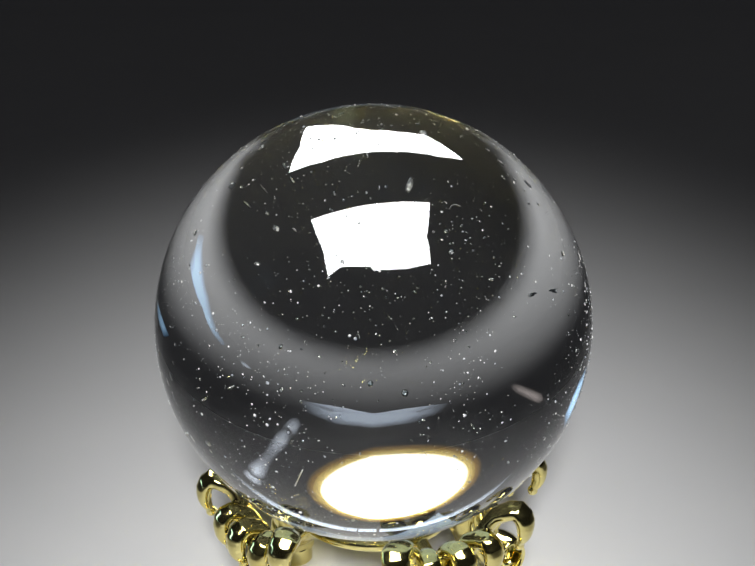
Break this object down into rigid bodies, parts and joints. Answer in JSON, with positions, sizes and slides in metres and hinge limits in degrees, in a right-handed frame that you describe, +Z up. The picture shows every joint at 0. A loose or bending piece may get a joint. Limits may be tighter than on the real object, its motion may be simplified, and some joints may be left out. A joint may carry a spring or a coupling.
{
  "type": "quartz sphere",
  "caption": "Clear polished quartz sphere held by a small gilt stand: a thin cradle ring on leafy cast scroll legs with round feet.",
  "frame": {"origin": "on the table, under the middle of the sphere", "axes": "+Z up, from the feet to the sphere's top; +X to the right and +Y away from the viewer's side; the legs stand on the diagonals"},
  "size_m": [0.06, 0.06, 0.0804],
  "materials": {
    "clear_quartz": "polished, clear",
    "gilt_ring": "polished gold plate",
    "gilt_casting": "polished gold plate, dark in the hollows"
  },
  "bodies": {
    "root": {"quartz_sphere": "clear_quartz", "cradle_ring": "gilt_ring", "leg_front_left": "gilt_casting", "leg_front_right": "gilt_casting", "leg_back_right": "gilt_casting", "leg_back_left": "gilt_casting"}
  },
  "joints": []
}
